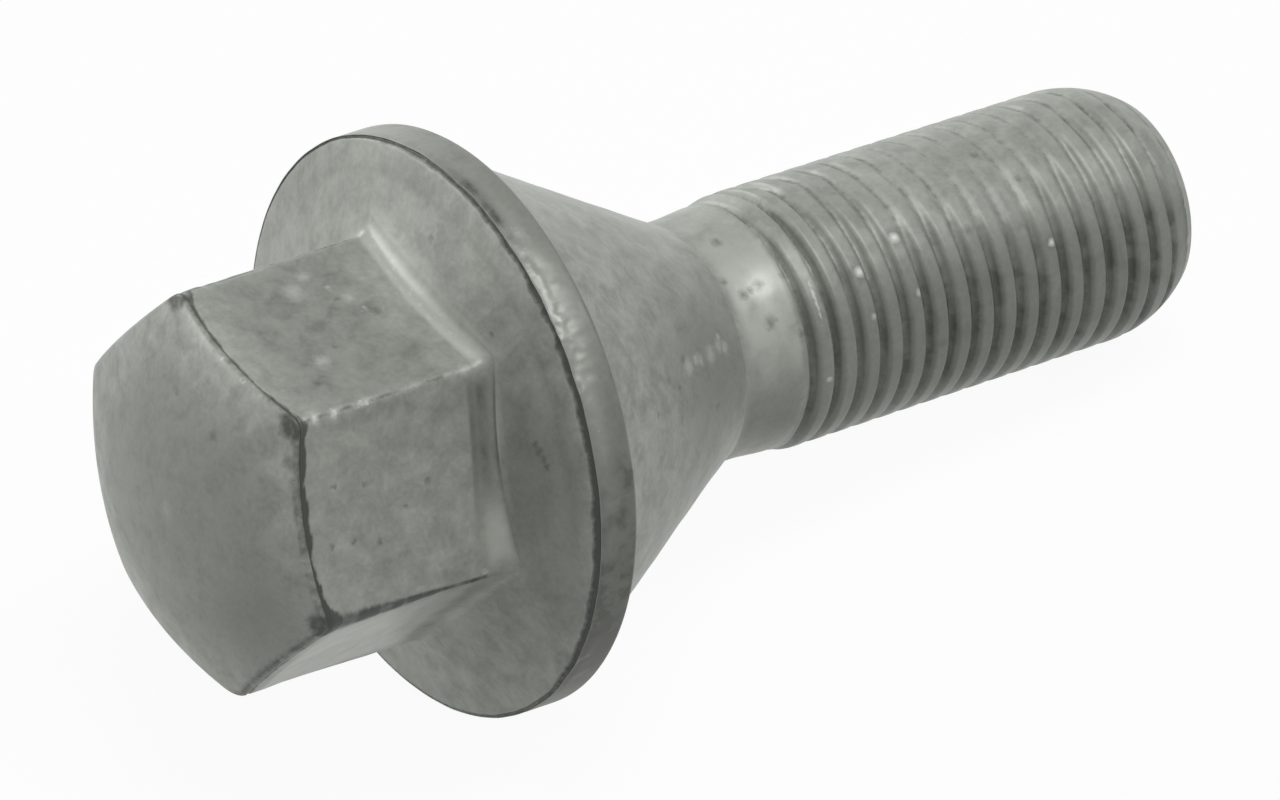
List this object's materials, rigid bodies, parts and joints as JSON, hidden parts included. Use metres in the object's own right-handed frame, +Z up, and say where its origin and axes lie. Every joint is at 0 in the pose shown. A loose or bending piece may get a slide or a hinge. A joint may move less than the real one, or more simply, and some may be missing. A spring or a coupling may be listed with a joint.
{
  "type": "wheel bolt",
  "caption": "Wheel bolt with a domed hexagon head, round flange, conical seat, short plain shank and fine metric thread; clamps a road wheel to its hub.",
  "frame": {"origin": "on the table that the bolt lies on, midway along and across the bolt", "axes": "+Z up from the table; +X level along the lying bolt from head to point; the bolt's own axis falls about 12 degrees from head to point, because it rests on the flange's rim and the thread's point"},
  "size_m": [0.0622, 0.031, 0.0307],
  "materials": {
    "zinc_flake_steel": "matte grey zinc flake coating on forged steel"
  },
  "bodies": {
    "root": {"wheel_bolt": "zinc_flake_steel"}
  },
  "joints": []
}
